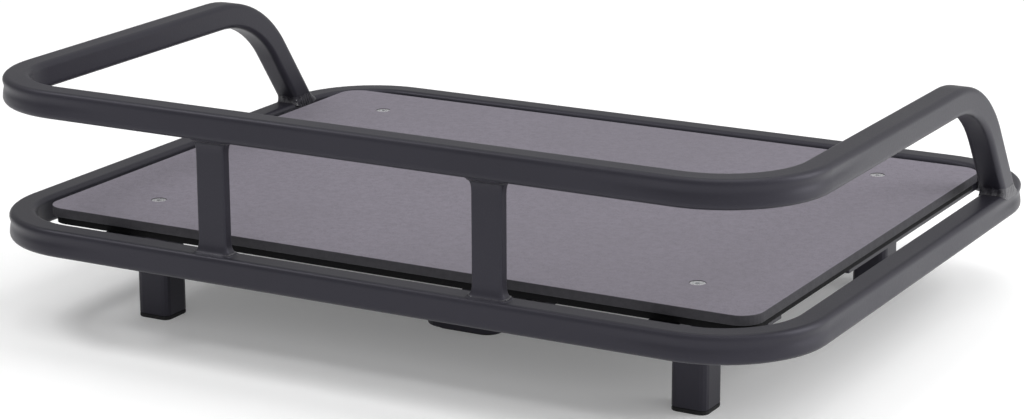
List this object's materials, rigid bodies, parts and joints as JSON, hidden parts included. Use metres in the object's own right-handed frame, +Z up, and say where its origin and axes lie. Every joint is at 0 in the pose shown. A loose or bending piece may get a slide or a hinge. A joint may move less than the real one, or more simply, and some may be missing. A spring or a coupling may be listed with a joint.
{
  "type": "luggage rack tray",
  "caption": "Rigid luggage tray for a cycle carrier: a welded square-tube ring with a raised guard rail round its front and sides, a screwed deck plate and short legs.",
  "frame": {"origin": "on the ground, under the centre of the base ring", "axes": "+X to the right along the front, which carries the guard rail; +Y to the open back; +Z up"},
  "size_m": [0.57, 0.452, 0.1657],
  "materials": {
    "coated_tube": "satin charcoal powder coat",
    "deck_board": "film-faced board with a fine embossed mesh, warm grey",
    "black_sheet": "matt black plastic sheet",
    "black_rubber": "matt black rubber",
    "zinc_steel": "bright zinc plate"
  },
  "bodies": {
    "root": {"base_ring": "coated_tube", "guard_rail": "coated_tube", "rail_post_left": "coated_tube", "rail_post_right": "coated_tube", "cross_bar_front": "coated_tube", "cross_bar_rear": "coated_tube", "side_bar_left": "coated_tube", "side_bar_right": "coated_tube", "stub_bar_left": "coated_tube", "stub_bar_right": "coated_tube", "centre_bar": "coated_tube", "mount_stem_front": "coated_tube", "mount_stem_rear": "coated_tube", "mount_plate": "coated_tube", "mount_pad": "black_rubber", "deck_plate": "deck_board", "support_sheet": "black_sheet", "leg_front_left": "coated_tube", "leg_front_right": "coated_tube", "leg_rear_left": "coated_tube", "leg_rear_right": "coated_tube", "foot_cap_front_left": "black_rubber", "foot_cap_front_right": "black_rubber", "foot_cap_rear_left": "black_rubber", "foot_cap_rear_right": "black_rubber", "deck_screw_front_left": "zinc_steel", "deck_screw_front_right": "zinc_steel", "deck_screw_rear_left": "zinc_steel", "deck_screw_rear_right": "zinc_steel", "deck_nut_front_left": "zinc_steel", "deck_nut_front_right": "zinc_steel", "deck_nut_rear_left": "zinc_steel", "deck_nut_rear_right": "zinc_steel"}
  },
  "joints": []
}
